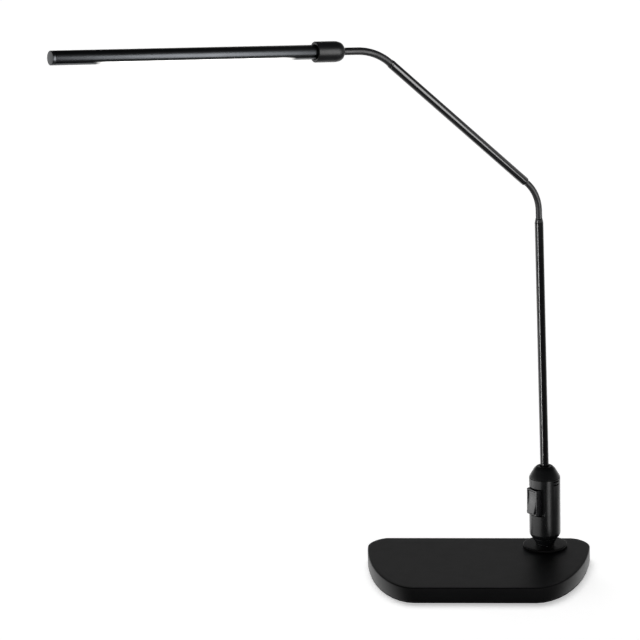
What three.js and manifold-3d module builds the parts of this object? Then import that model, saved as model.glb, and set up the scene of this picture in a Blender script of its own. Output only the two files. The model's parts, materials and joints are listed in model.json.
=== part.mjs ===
// LED desk lamp: D-shaped weighted base, swivelling switch housing, a tubular arm
// with two gooseneck bends, and a slim light bar that turns in a collar.
//
// Units are millimetres, +Z is up. The long side of the base runs along X and its
// flat back faces +Y. The origin is on the underside of the base, on the swivel axis.
// The arm, the housing and the bar are laid out in an "arm frame" whose X axis is the
// direction the arm reaches in, and which is turned about the swivel axis.

import * as THREE from 'three';
import { mergeVertices } from 'three/addons/utils/BufferGeometryUtils.js';
import Module from 'manifold-3d';

const wasm = await Module();
wasm.setup();

// ---------------------------------------------------------------- driving dimensions

const GAP = 0.3; // clearance between neighbouring pieces

const ARM_HEADING = 210; // degrees about Z that the arm reaches in

const BASE = {
  width: 205.6,
  depth: 134,
  height: 14.8,
  axisToRight: 41.3, // swivel axis to the right-hand end
  axisToBack: 22, // swivel axis to the flat back
  backCorner: { x: 18, y: 21, power: 1.7 },
  frontCorner: { x: 47, power: 1.9 },
  wall: 2.2,
  top: 2.3,
  padThickness: 1.1,
  padInset: 0.5,
  plateThickness: 1.4,
};

const SCREW_SPOTS = [
  [-148, -2],
  [28, -2],
  [-112, -86],
  [-8, -86],
];

const SOCKET = {
  flangeRadius: 20.5,
  flangeHeight: 2.4,
  flangeBevel: 1,
  sleeveRadius: 9,
  boreRadius: 6.6,
};

const PIN_RADIUS = 4;

const HOUSING = {
  radius: 14.4,
  cavityRadius: 11.8,
  bottom: 24.5,
  chamferTop: 28,
  chamfer: 2.2,
  top: 82.8,
  seamAngle: 65, // arm-frame direction that the front seam faces
  switchAngle: 11, // arm-frame direction that the switch faces
  ventAngle: 112,
  inletAngle: 195,
  landDepth: 9, // swivel axis to the flat land that carries the switch
  landBottom: 47.8,
  landTop: 74.8,
};

const NECK = { topRadius: 12, bottomRadius: 8.6, lip: 0.6 };

const VENTS = { width: 8, height: 1.2, levels: [77.2, 80.4] };

const CAP_TOP = 93.6;

// the cap's domed outside above the barrel, as (radius, height)
const CAP_DOME = [
  [12.9, 86],
  [11.5, 88.4],
  [9.5, 91.6],
  [7.2, CAP_TOP],
];

// the cap's spigot goes down into the barrel and ends in a collar round the post
const SPIGOT = { radius: 8.2, depth: 3.4, collarWall: 2.6, collarDepth: 6 };
const SET_SCREW = { radius: 1.45, hole: 1.8, height: 86.9, reach: 10.6 };

// the frame stands on the land; the body behind it goes into the housing
const SWITCH = { width: 14, low: 48.8, high: 73.8, rise: 6.5, rim: 1.6, floor: 0.8, bodyDepth: 6.5 };
const SWITCH_BODY = { width: 9, inset: 2.5 };
const SWITCH_FACE = HOUSING.landDepth + GAP;
const ROCKER_PIVOT = SWITCH_FACE + SWITCH.rise - 1.6;
const ROCKER_TILT = 8; // each way from its middle position
const TERMINAL = { width: 3, thickness: 0.8, length: 3.7, offset: 5 };

// the board stands behind the switch, from distance a to b from the swivel axis
const DRIVER_BOARD = { a: 5.6, b: 6.9, width: 15, low: 47, high: 74 };
const DRIVER_COIL = { a: 7.2, b: 9.6, width: 6, low: 54, high: 62 };

const INLET = { height: 38, radius: 4, bore: 2.7, pinRadius: 0.9, back: 6.2, floor: 7.6 };

const TUBE = { radius: 4, bore: 3.3 };
const FERRULE_BORE = 2.35;
const LOWER_SLEEVE = { radius: 2.95, bore: 2.35 };
const UPPER_SLEEVE = { radius: 3.4, bore: 2.8 };
const CORE = { radius: 2.0, bore: 1.2 };

const POST = { bottom: 77, top: 328.8, lean: 0.9 };
const POST_FERRULE = 4; // tapered length that shows above the tube
const MIDDLE_FERRULE = 2;

// corners of the arm's centre line, in the arm frame as (reach, height)
const ELBOW = new THREE.Vector2(4.1, 356.8);
const MIDDLE_ANGLE = 44; // rise of the middle tube above the horizontal
const MIDDLE_START = 19.7; // elbow to the middle tube's lower end
const MIDDLE_END = 206.1; // elbow to the middle tube's upper end
const SHOULDER = 227.4; // elbow to the corner of the upper bend
const BAR_ANGLE = 7; // rise of the light bar above the horizontal
const ELBOW_TANGENT = 16.5; // corner to where the curve starts
const SHOULDER_TANGENT = 18.8;
const COLLAR_START = 33.9; // shoulder corner to the collar's rear end

const COLLAR = { radius: 9.4, bore: 6.9, length: 27.8, mouthRadius: 3.8, endWall: 5 };

// the collar's rounded end, as (radius, distance from its rear end)
const COLLAR_DOME = [
  [5.9, 0],
  [7.8, 1.7],
  [8.9, 4.2],
  [COLLAR.radius, 7.2],
];
const STOP_SCREW = { radius: 1.25, hole: 1.6, at: 13, inner: 5.65, outer: 9.1 };

// the journal's outside, from its rear end to its plug in the bar, as (radius, distance)
const JOURNAL = {
  bore: 2.3,
  rear: 5.6,
  radius: 6.5,
  stopGroove: { radius: 5.3, from: 11, to: 15 },
  ringGroove: { radius: 5.2, from: 18, to: 20.4 },
  plug: { radius: 4.9, length: 8 },
};
const FRICTION_RING = { outer: 6.55, inner: 5.5, from: 18.3, to: 20.1 };

const BAR = {
  radius: 6.5,
  inner: 5.25,
  start: 24.5, // from the collar's rear end
  end: 283,
  step: -1.1, // level at which the shell steps in to its lip
  lip: 5.9, // outer radius of the lip
  split: -3.5, // lower edge of the lip
  capLength: 3.3,
  plugLength: 6,
  diffuserSetback: 3.5,
  boardStart: 61,
  boardEnd: 246,
  ledCount: 12,
};

// ------------------------------------------------------------------------- materials

const finish = (color, roughness, metalness) =>
  new THREE.MeshStandardMaterial({ color, roughness, metalness });

const LOOK = {
  basePlastic: finish(0x1c1c1e, 0.55, 0),
  blackPlastic: finish(0x17171a, 0.42, 0),
  blackMetal: finish(0x101114, 0.3, 0.6),
  barMetal: finish(0x15171a, 0.34, 0.7),
  sleeveRubber: finish(0x0e0e10, 0.5, 0),
  castIron: finish(0x3b3b3e, 0.7, 0.8),
  steel: finish(0x8a8c90, 0.35, 1),
  brass: finish(0xb08a45, 0.35, 1),
  pad: finish(0x202022, 0.9, 0),
  rocker: finish(0x2a2a30, 0.3, 0),
  board: finish(0x1f5a35, 0.6, 0),
  whiteBoard: finish(0xe8e8e4, 0.5, 0),
  led: finish(0xf4ecc0, 0.4, 0),
  diffuser: finish(0xf6f7f8, 0.5, 0),
};

// --------------------------------------------------------------------------- helpers

const rad = THREE.MathUtils.degToRad;

const toSolid = (geometry) => {
  const bare = geometry.index ? geometry.toNonIndexed() : geometry.clone();
  bare.deleteAttribute('normal');
  bare.deleteAttribute('uv');
  const merged = mergeVertices(bare, 1e-4);
  return new wasm.Manifold(new wasm.Mesh({
    numProp: 3,
    vertProperties: new Float32Array(merged.attributes.position.array),
    triVerts: new Uint32Array(merged.index.array),
  }));
};

const toGeometry = (solid) => {
  const mesh = solid.getMesh();
  const geometry = new THREE.BufferGeometry();
  geometry.setAttribute('position', new THREE.BufferAttribute(mesh.vertProperties, 3));
  geometry.setIndex(new THREE.BufferAttribute(mesh.triVerts, 1));
  return geometry;
};

const cut = (geometry, ...tools) => {
  const solid = tools.reduce((rest, tool) => rest.subtract(toSolid(tool)), toSolid(geometry));
  return toGeometry(solid);
};

const join = (geometry, ...others) => {
  const solid = others.reduce((sum, other) => sum.add(toSolid(other)), toSolid(geometry));
  return toGeometry(solid);
};

const common = (geometry, other) => toGeometry(toSolid(geometry).intersect(toSolid(other)));

const lamp = new THREE.Group();
const arm = new THREE.Group();
arm.rotation.z = rad(ARM_HEADING);
lamp.add(arm);

const piece = (parent, name, geometry, material) => {
  const mesh = new THREE.Mesh(geometry, material);
  mesh.name = name;
  parent.add(mesh);
  return mesh;
};

// a profile of (radius, height) points turned about Z
const turned = (points, sides = 24) => {
  const profile = points.map(([radius, height]) => new THREE.Vector2(radius, height));
  const geometry = new THREE.LatheGeometry(profile, sides);
  return geometry.rotateX(Math.PI / 2);
};

// a closed ring profile runs up the outside and back down the bore
const ring = (outer, inner, low, high, sides = 24) =>
  turned([[inner, low], [outer, low], [outer, high], [inner, high], [inner, low]], sides);

const rod = (radius, low, high, sides = 16) =>
  turned([[0, low], [radius, low], [radius, high], [0, high]], sides);

// a rod along the direction "angle" in the XY plane, from distance a to b
const radialRod = (radius, angle, a, b, height, sides = 12) => {
  const geometry = rod(radius, a, b, sides);
  geometry.rotateY(Math.PI / 2);
  geometry.rotateZ(rad(angle));
  return geometry.translate(0, 0, height);
};

// a box centred on the direction "angle", from distance a to b
const radialBox = (angle, a, b, width, low, high) => {
  const geometry = new THREE.BoxGeometry(b - a, width, high - low);
  geometry.translate((a + b) / 2, 0, (low + high) / 2);
  return geometry.rotateZ(rad(angle));
};

const plate = (shape, low, high) => {
  const options = { depth: high - low, bevelEnabled: false, curveSegments: 12 };
  return new THREE.ExtrudeGeometry(shape, options).translate(0, 0, low);
};

// ------------------------------------------------------------------------------ base

// quarter of a superellipse from (x radius, 0) to (0, y radius)
const cornerPoints = (xRadius, yRadius, power, steps) => {
  const points = [];
  for (let i = 0; i <= steps; i++) {
    const angle = (i / steps) * Math.PI / 2;
    const x = xRadius * Math.cos(angle) ** (2 / power);
    const y = yRadius * Math.sin(angle) ** (2 / power);
    points.push([x, y]);
  }
  return points;
};

// the D-shaped outline, moved inwards by "inset"
const baseShape = (inset, steps = 7) => {
  const { width, depth, axisToRight, axisToBack, backCorner, frontCorner } = BASE;
  const half = width / 2;
  const backX = backCorner.x - inset / 2;
  const frontX = frontCorner.x - inset / 2;
  const frontY = depth - backCorner.y - inset;
  const back = cornerPoints(backX, backCorner.y - inset, backCorner.power, steps);
  const front = cornerPoints(frontX, frontY, frontCorner.power, steps + 3);
  const right = [];
  for (const [x, y] of back.slice().reverse()) {
    right.push([half - inset - backX + x, y - backCorner.y]);
  }
  for (const [x, y] of front.slice(1)) {
    right.push([half - inset - frontX + x, -y - backCorner.y]);
  }
  const left = right.map(([x, y]) => [-x, y]).reverse();
  const outline = [...right, ...left].map(([x, y]) => new THREE.Vector2(
    x + axisToRight - half,
    y + axisToBack,
  ));
  return new THREE.Shape(outline);
};

const at = (geometry, [x, y]) => geometry.translate(x, y, 0);

const PLATE_LOW = BASE.padThickness + GAP;
const PLATE_HIGH = PLATE_LOW + BASE.plateThickness;
const PLATE_INSET = BASE.wall + 0.4;
const SHELL_UNDERSIDE = BASE.height - BASE.top;
const WEIGHT_LOW = PLATE_HIGH + GAP;
const WEIGHT_HIGH = SHELL_UNDERSIDE - GAP;
const WEIGHT_INSET = BASE.wall + 3;
const NUT = { radius: 13, low: WEIGHT_LOW + 0.1, high: WEIGHT_LOW + 2.9 };
const WASHER = { radius: 14, low: NUT.high + GAP, high: NUT.high + GAP + 0.9 };
const SCREW_POST = { radius: 3.4, bore: 1.4, clearance: 0.6 };
const SCREW = { head: 2.55, shank: 1, length: 5, countersink: 3.15 };

const makeShell = () => {
  const wall = plate(baseShape(0), PLATE_LOW, BASE.height);
  const hollow = plate(baseShape(BASE.wall), PLATE_LOW - 1, SHELL_UNDERSIDE);
  const socketHole = rod(SOCKET.sleeveRadius + GAP, SHELL_UNDERSIDE - 1, BASE.height + 1, 24);
  const posts = SCREW_SPOTS.map((spot) => (
    at(rod(SCREW_POST.radius, WEIGHT_LOW + GAP, SHELL_UNDERSIDE + 1, 12), spot)
  ));
  const bores = SCREW_SPOTS.map((spot) => (
    at(rod(SCREW_POST.bore, WEIGHT_LOW - 1, SHELL_UNDERSIDE - 1, 10), spot)
  ));
  const shell = join(cut(wall, hollow, socketHole), ...posts);
  piece(lamp, 'base_top_shell', cut(shell, ...bores), LOOK.basePlastic);
};

const makeWeightAndPlate = () => {
  const holeRadius = SCREW_POST.radius + SCREW_POST.clearance;
  const holes = SCREW_SPOTS.map((spot) => at(rod(holeRadius, 0, 20, 12), spot));
  const bore = rod(SOCKET.sleeveRadius + GAP, 0, 20, 24);
  const nutPocket = rod(WASHER.radius + SCREW_POST.clearance, 0, WASHER.high + GAP, 24);
  const weight = plate(baseShape(WEIGHT_INSET), WEIGHT_LOW, WEIGHT_HIGH);
  piece(lamp, 'base_weight', cut(weight, bore, nutPocket, ...holes), LOOK.castIron);

  const countersinks = SCREW_SPOTS.map((spot) => at(turned([
    [0, PLATE_LOW - 0.2],
    [SCREW.countersink, PLATE_LOW - 0.2],
    [SCREW_POST.bore, PLATE_HIGH + 0.2],
    [0, PLATE_HIGH + 0.2],
  ], 12), spot));
  const bottom = plate(baseShape(PLATE_INSET), PLATE_LOW, PLATE_HIGH);
  piece(lamp, 'base_bottom_plate', cut(bottom, ...countersinks), LOOK.steel);
  piece(lamp, 'base_pad', plate(baseShape(BASE.padInset), 0, BASE.padThickness), LOOK.pad);
};

const makeScrews = () => {
  SCREW_SPOTS.forEach((spot, i) => {
    const screw = turned([
      [0, PLATE_LOW + 0.15],
      [SCREW.head, PLATE_LOW + 0.15],
      [SCREW.shank, PLATE_HIGH - 0.05],
      [SCREW.shank, PLATE_HIGH + SCREW.length],
      [0, PLATE_HIGH + SCREW.length + 0.8],
    ], 10);
    piece(lamp, `base_screw_${i + 1}`, at(screw, spot), LOOK.steel);
  });
};

const makeSocket = () => {
  const { flangeRadius, flangeHeight, flangeBevel, sleeveRadius, boreRadius } = SOCKET;
  const sleeveLow = WEIGHT_LOW + 0.2;
  const flangeLow = BASE.height + GAP;
  const flangeHigh = flangeLow + flangeHeight;
  piece(lamp, 'base_socket', turned([
    [boreRadius, sleeveLow],
    [sleeveRadius, sleeveLow],
    [sleeveRadius, flangeLow],
    [flangeRadius, flangeLow],
    [flangeRadius, flangeHigh - flangeBevel],
    [flangeRadius - flangeBevel, flangeHigh],
    [boreRadius, flangeHigh],
    [boreRadius, sleeveLow],
  ], 36), LOOK.basePlastic);
  const bush = ring(boreRadius - GAP, PIN_RADIUS + GAP, sleeveLow + 0.2, flangeHigh);
  piece(lamp, 'socket_bush', bush, LOOK.brass);
  const nutBore = rod(sleeveRadius + GAP, NUT.low - 1, NUT.high + 1, 24);
  const nutBlank = rod(NUT.radius, NUT.low, NUT.high, 6);
  piece(lamp, 'socket_nut', cut(nutBlank, nutBore), LOOK.steel);
  const washer = ring(WASHER.radius, sleeveRadius + GAP, WASHER.low, WASHER.high);
  piece(lamp, 'socket_washer', washer, LOOK.steel);
};

// --------------------------------------------------------------------- switch housing

const NECK_LOW = BASE.height + SOCKET.flangeHeight + 2 * GAP;
const PIN_LOW = PLATE_HIGH + 0.5;
const NECK_HIGH = HOUSING.bottom - GAP;
const FLOOR_HIGH = HOUSING.chamferTop + 0.5; // top of the housing's floor

const LAND_WALL = 1.7;
const PIN_HEAD = { low: FLOOR_HIGH + GAP, high: FLOOR_HIGH + GAP + 2.5, radius: 6.9 };

const makePinAndNeck = () => {
  piece(arm, 'neck_cone', turned([
    [PIN_RADIUS + GAP, NECK_LOW],
    [NECK.bottomRadius, NECK_LOW],
    [NECK.bottomRadius, NECK_LOW + NECK.lip],
    [NECK.topRadius, NECK_HIGH],
    [PIN_RADIUS + GAP, NECK_HIGH],
    [PIN_RADIUS + GAP, NECK_LOW],
  ], 32), LOOK.blackPlastic);
  piece(arm, 'swivel_pin', turned([
    [0, PIN_LOW],
    [PIN_RADIUS - 1, PIN_LOW],
    [PIN_RADIUS, PIN_LOW + 1],
    [PIN_RADIUS, PIN_HEAD.low],
    [PIN_HEAD.radius, PIN_HEAD.low],
    [PIN_HEAD.radius, PIN_HEAD.high],
    [0, PIN_HEAD.high],
  ], 20), LOOK.steel);
};

// the whole housing barrel before it is split into two halves
const housingBarrel = () => {
  const { radius, cavityRadius, bottom, chamfer, chamferTop, top } = HOUSING;
  const { switchAngle, landDepth, landBottom, landTop } = HOUSING;
  const outside = turned([
    [0, bottom],
    [radius - chamfer, bottom],
    [radius, chamferTop],
    [radius, top],
    [0, top],
  ], 40);
  const cavity = rod(cavityRadius, FLOOR_HIGH, top + 1, 28);
  const behindLand = radialBox(switchAngle, -20, landDepth - LAND_WALL, 60, FLOOR_HIGH, top + 1);
  const aboveLand = rod(cavityRadius, landTop + LAND_WALL, top + 1, 28);
  const land = radialBox(switchAngle, landDepth, 30, 60, landBottom, landTop);
  const pinHole = rod(PIN_RADIUS + GAP, bottom - 1, FLOOR_HIGH + 1, 20);
  return cut(outside, common(cavity, behindLand), aboveLand, land, pinHole);
};

const makeHousing = () => {
  const { switchAngle, seamAngle, ventAngle, inletAngle } = HOUSING;
  const holeInset = SWITCH_BODY.inset - GAP;
  const switchHole = radialBox(
    switchAngle, 4, 12, SWITCH_BODY.width + 2 * GAP, SWITCH.low + holeInset, SWITCH.high - holeInset,
  );
  const vents = VENTS.levels.map((low) => (
    radialBox(ventAngle, 10, 20, VENTS.width, low, low + VENTS.height)
  ));
  const inletHole = radialRod(INLET.radius + GAP, inletAngle, 8, 20, INLET.height, 16);
  const barrel = housingBarrel();
  const halfSpace = (side) => {
    const box = new THREE.BoxGeometry(60, 40, 100);
    box.translate(0, side * (20 + GAP / 2), 60);
    return box.rotateZ(rad(seamAngle));
  };
  const left = common(barrel, halfSpace(-1));
  const right = common(barrel, halfSpace(1));
  piece(arm, 'housing_switch_half', cut(left, switchHole), LOOK.blackPlastic);
  piece(arm, 'housing_plain_half', cut(right, inletHole, ...vents), LOOK.blackPlastic);
};

const makeCap = () => {
  const { radius, top, seamAngle } = HOUSING;
  const bore = TUBE.radius + 0.6;
  const { collarWall, collarDepth } = SPIGOT;
  const cap = turned([
    [bore, top - collarDepth],
    [bore + collarWall, top - collarDepth],
    [bore + collarWall, top - SPIGOT.depth],
    [SPIGOT.radius, top - SPIGOT.depth],
    [SPIGOT.radius, top + GAP],
    [radius, top + GAP],
    ...CAP_DOME,
    [bore, CAP_TOP],
    [bore, top - collarDepth],
  ], 40);
  const back = seamAngle + 180;
  const { height, hole, reach } = SET_SCREW;
  piece(arm, 'housing_cap', cut(cap, radialRod(hole, back, 3, 20, height, 12)), LOOK.blackPlastic);
  const screw = radialRod(SET_SCREW.radius, back, bore + 0.1, reach, height, 12);
  piece(arm, 'post_set_screw', screw, LOOK.steel);
};

// ----------------------------------------------------------------- switch and inlet

const makeSwitchFrame = () => {
  const { width, low, high, rise, rim, floor, bodyDepth } = SWITCH;
  const angle = HOUSING.switchAngle;
  const { inset } = SWITCH_BODY;
  const frame = radialBox(angle, SWITCH_FACE, SWITCH_FACE + rise, width, low, high);
  const body = radialBox(
    angle, SWITCH_FACE - bodyDepth, SWITCH_FACE + floor / 2, SWITCH_BODY.width, low + inset, high - inset,
  );
  const well = radialBox(angle, SWITCH_FACE + floor, 30, width - 2 * rim, low + rim, high - rim);
  piece(arm, 'switch_frame', cut(join(frame, body), well), LOOK.rocker);
};

// the rocker's face is a shallow V; at rest its upper end is pressed in
const makeRocker = () => {
  const { width, low, high, rim } = SWITCH;
  const half = (high - low) / 2 - rim - 0.5;
  const profile = new THREE.Shape();
  profile.moveTo(-1.4, -2);
  profile.lineTo(0.4, -half);
  profile.lineTo(2.4, -half + 0.2);
  profile.lineTo(1.2, 0);
  profile.lineTo(2.4, half - 0.2);
  profile.lineTo(0.4, half);
  profile.lineTo(-1.4, 2);
  const depth = width - 2 * rim - 0.8;
  const rocker = new THREE.ExtrudeGeometry(profile, { depth, bevelEnabled: false });
  rocker.translate(0, 0, -depth / 2);
  rocker.rotateX(Math.PI / 2);
  rocker.rotateY(rad(-ROCKER_TILT));
  rocker.translate(ROCKER_PIVOT, 0, (low + high) / 2);
  rocker.rotateZ(rad(HOUSING.switchAngle));
  piece(arm, 'rocker', rocker, LOOK.rocker);
};

const makeTerminals = () => {
  const middle = (SWITCH.low + SWITCH.high) / 2;
  const back = SWITCH_FACE - SWITCH.bodyDepth - GAP;
  [-TERMINAL.offset, TERMINAL.offset].forEach((offset, i) => {
    const level = middle + offset - TERMINAL.thickness / 2;
    const blade = radialBox(
      HOUSING.switchAngle, back - TERMINAL.length, back, TERMINAL.width, level, level + TERMINAL.thickness,
    );
    piece(arm, `switch_terminal_${i + 1}`, blade, LOOK.brass);
  });
};

const makeHousingElectrics = () => {
  const angle = HOUSING.inletAngle;
  const { height, radius, bore, pinRadius, back, floor } = INLET;
  const socket = radialRod(radius, angle, back, HOUSING.radius - 0.2, height, 16);
  const socketBore = radialRod(bore, angle, floor, 20, height, 12);
  piece(arm, 'power_inlet', cut(socket, socketBore), LOOK.blackPlastic);
  const pin = radialRod(pinRadius, angle, floor + 0.35, HOUSING.radius - 1.6, height, 8);
  piece(arm, 'inlet_pin', pin, LOOK.steel);
  const behindSwitch = HOUSING.switchAngle + 180;
  const block = ({ a, b, width, low, high }) => radialBox(behindSwitch, a, b, width, low, high);
  piece(arm, 'driver_board', block(DRIVER_BOARD), LOOK.board);
  piece(arm, 'driver_coil', block(DRIVER_COIL), LOOK.castIron);
};

// ------------------------------------------------------------------------------- arm

const along = (point, degrees, distance) => {
  const heading = new THREE.Vector2(Math.cos(rad(degrees)), Math.sin(rad(degrees)));
  return point.clone().addScaledVector(heading, distance);
};

const POST_ANGLE = 90 - POST.lean;
const SHOULDER_POINT = along(ELBOW, MIDDLE_ANGLE, SHOULDER);
const BAR_ORIGIN = along(SHOULDER_POINT, BAR_ANGLE, COLLAR_START);
const POST_TO_ELBOW = ELBOW.y - POST.top - POST_FERRULE;

// a frame whose local Z runs along a line of the arm plane
const onLine = (point, degrees) => {
  const holder = new THREE.Group();
  holder.position.set(point.x, 0, point.y);
  holder.rotation.y = rad(90 - degrees);
  arm.add(holder);
  return holder;
};

// the ferrule plugs a tube's end; its tapered collar faces the gooseneck
const ferrule = (end, length, facing, sleeve) => {
  const profile = [
    [FERRULE_BORE, -6],
    [TUBE.bore - GAP, -6],
    [TUBE.bore - GAP, GAP],
    [TUBE.radius, GAP],
    [sleeve.radius + 0.25, length],
    [FERRULE_BORE, length],
    [FERRULE_BORE, -6],
  ];
  const geometry = turned(profile, 20);
  if (facing < 0) geometry.rotateX(Math.PI);
  return geometry.translate(0, 0, end);
};

// the centre line of a bend: straight, round, straight
class BendCurve extends THREE.Curve {
  constructor(corner, angleIn, angleOut, before, tangent, after) {
    super();
    this.start = along(corner, angleIn, -before);
    this.end = along(corner, angleOut, after);
    this.arcStart = along(corner, angleIn, -tangent);
    this.angleIn = angleIn;
    this.turn = angleIn - angleOut;
    this.radius = tangent / Math.tan(rad(this.turn) / 2);
    this.lengths = [before - tangent, this.radius * rad(this.turn), after - tangent];
    this.total = this.lengths.reduce((sum, length) => sum + length, 0);
    this.arcEnd = along(corner, angleOut, tangent);
    this.angleOut = angleOut;
  }

  planar(distance) {
    const [first, round] = this.lengths;
    if (distance <= first) return along(this.start, this.angleIn, distance);
    const past = distance - first - round;
    if (past >= 0) return along(this.arcEnd, this.angleOut, past);
    const swing = THREE.MathUtils.radToDeg((distance - first) / this.radius);
    const centre = along(this.arcStart, this.angleIn - 90, this.radius);
    return along(centre, this.angleIn + 90 - swing, this.radius);
  }

  getPoint(t, target = new THREE.Vector3()) {
    const point = this.planar(t * this.total);
    return target.set(point.x, 0, point.y);
  }
}

const LOWER_BEND = new BendCurve(
  ELBOW, POST_ANGLE, MIDDLE_ANGLE,
  POST_TO_ELBOW - GAP, ELBOW_TANGENT, MIDDLE_START - MIDDLE_FERRULE - GAP,
);
const UPPER_BEND = new BendCurve(
  SHOULDER_POINT, MIDDLE_ANGLE, BAR_ANGLE,
  SHOULDER - MIDDLE_END - MIDDLE_FERRULE - GAP, SHOULDER_TANGENT, COLLAR_START + 3,
);

const swept = (curve, outer, inner, sides, steps) => {
  const section = new THREE.Shape();
  section.absarc(0, 0, outer, 0, Math.PI * 2, false);
  const hole = new THREE.Path();
  hole.absarc(0, 0, inner, 0, Math.PI * 2, true);
  section.holes.push(hole);
  return new THREE.ExtrudeGeometry(section, { extrudePath: curve, steps, curveSegments: sides / 2 });
};

const makePost = () => {
  const foot = new THREE.Vector2(0, CAP_TOP);
  const line = onLine(foot, POST_ANGLE);
  const low = POST.bottom - CAP_TOP;
  const high = (POST.top - CAP_TOP) / Math.cos(rad(POST.lean));
  piece(line, 'post_tube', ring(TUBE.radius, TUBE.bore, low, high, 20), LOOK.blackMetal);
  piece(line, 'post_ferrule', ferrule(high, POST_FERRULE, 1, LOWER_SLEEVE), LOOK.blackMetal);
};

const makeGooseneck = (prefix, curve, sleeve) => {
  const cover = swept(curve, sleeve.radius, sleeve.bore, 12, 16);
  piece(arm, `${prefix}_gooseneck_sleeve`, cover, LOOK.sleeveRubber);
  const core = swept(curve, CORE.radius, CORE.bore, 8, 16);
  piece(arm, `${prefix}_gooseneck_core`, core, LOOK.steel);
};

const makeMiddle = () => {
  const line = onLine(ELBOW, MIDDLE_ANGLE);
  const tube = ring(TUBE.radius, TUBE.bore, MIDDLE_START, MIDDLE_END, 20);
  piece(line, 'middle_tube', tube, LOOK.blackMetal);
  const lower = ferrule(MIDDLE_START, MIDDLE_FERRULE, -1, LOWER_SLEEVE);
  piece(line, 'middle_lower_ferrule', lower, LOOK.blackMetal);
  const upper = ferrule(MIDDLE_END, MIDDLE_FERRULE, 1, UPPER_SLEEVE);
  piece(line, 'middle_upper_ferrule', upper, LOOK.blackMetal);
};

// ------------------------------------------------------------------ collar and light bar

const makeCollar = (line) => {
  const { radius, bore, length, mouthRadius, endWall } = COLLAR;
  const { hole, at: screwAt, inner, outer } = STOP_SCREW;
  const collar = turned([
    [mouthRadius, 0],
    ...COLLAR_DOME,
    [radius, length - 0.6],
    [radius - 0.6, length],
    [bore, length],
    [bore, endWall],
    [mouthRadius, endWall],
    [mouthRadius, 0],
  ], 32);
  const stopHole = rod(hole, 5, 12, 10).rotateX(Math.PI / 2).translate(0, 0, screwAt);
  piece(line, 'head_collar', cut(collar, stopHole), LOOK.blackPlastic);
  const stopScrew = rod(STOP_SCREW.radius, inner, outer, 10).rotateX(Math.PI / 2);
  piece(line, 'roll_stop_screw', stopScrew.translate(0, 0, screwAt), LOOK.steel);
};

const makeJournal = (line) => {
  const { bore, rear, radius, stopGroove, ringGroove, plug } = JOURNAL;
  const shoulder = BAR.start - GAP;
  piece(line, 'bar_journal', turned([
    [bore, rear],
    [radius, rear],
    [radius, stopGroove.from],
    [stopGroove.radius, stopGroove.from],
    [stopGroove.radius, stopGroove.to],
    [radius, stopGroove.to],
    [radius, ringGroove.from],
    [ringGroove.radius, ringGroove.from],
    [ringGroove.radius, ringGroove.to],
    [radius, ringGroove.to],
    [radius, shoulder],
    [plug.radius, shoulder],
    [plug.radius, BAR.start + plug.length],
    [bore, BAR.start + plug.length],
    [bore, rear],
  ], 24), LOOK.blackPlastic);
  const { outer, inner, from, to } = FRICTION_RING;
  piece(line, 'friction_ring', ring(outer, inner, from, to, 24), LOOK.sleeveRubber);
};

// angle at which a circle crosses a level, on its right-hand side
const levelAngle = (radius, level) => Math.asin(level / radius);

// the shell's section, with local Y up: a C that steps in to a lip at each side
const shellShape = () => {
  const { radius, inner, lip, step, split } = BAR;
  const outerStart = levelAngle(radius, step);
  const lipStart = levelAngle(lip, step);
  const lipEnd = levelAngle(lip, split);
  const innerEnd = levelAngle(inner, split);
  const shape = new THREE.Shape();
  shape.absarc(0, 0, radius, outerStart, Math.PI - outerStart, false);
  shape.absarc(0, 0, lip, Math.PI - lipStart, Math.PI - lipEnd, false);
  shape.absarc(0, 0, inner, Math.PI - innerEnd, innerEnd, true);
  shape.absarc(0, 0, lip, lipEnd, lipStart, false);
  return shape;
};

const diffuserShape = () => {
  const level = BAR.split - GAP;
  const outerAngle = levelAngle(BAR.radius, level);
  const innerAngle = levelAngle(BAR.inner, level);
  const shape = new THREE.Shape();
  shape.absarc(0, 0, BAR.radius, outerAngle, -Math.PI - outerAngle, true);
  shape.absarc(0, 0, BAR.inner, -Math.PI - innerAngle, innerAngle, false);
  return shape;
};

const extruded = (shape, from, to) => {
  const options = { depth: to - from, bevelEnabled: false, curveSegments: 14 };
  const geometry = new THREE.ExtrudeGeometry(shape, options).translate(0, 0, from);
  return geometry.rotateZ(Math.PI / 2);
};

const makeBarShell = (line) => {
  const { radius, inner, start, end, capLength, plugLength, diffuserSetback } = BAR;
  piece(line, 'bar_shell', extruded(shellShape(), start, end), LOOK.barMetal);
  const diffuser = extruded(diffuserShape(), start + diffuserSetback, end);
  piece(line, 'diffuser', diffuser, LOOK.diffuser);
  piece(line, 'bar_end_cap', turned([
    [0, end - plugLength],
    [inner - GAP, end - plugLength],
    [inner - GAP, end + GAP],
    [radius, end + GAP],
    [radius, end + capLength - 0.7],
    [radius - 0.5, end + capLength],
    [0, end + capLength],
  ], 32), LOOK.barMetal);
};

const BOARD = { thickness: 1.2, width: 8.4, level: 1.6 };
const SPREADER = { thickness: 1, width: 7.2, level: 3, overhang: 20 };
const LED = { thickness: 0.9, width: 2.8, length: 3.5, level: 0.2 };

// a block inside the bar, at a level above the bar's centre line
const barBlock = (line, name, size, length, middle, material) => {
  const geometry = new THREE.BoxGeometry(size.thickness, size.width, length);
  piece(line, name, geometry.translate(-size.level, 0, middle), material);
};

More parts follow.
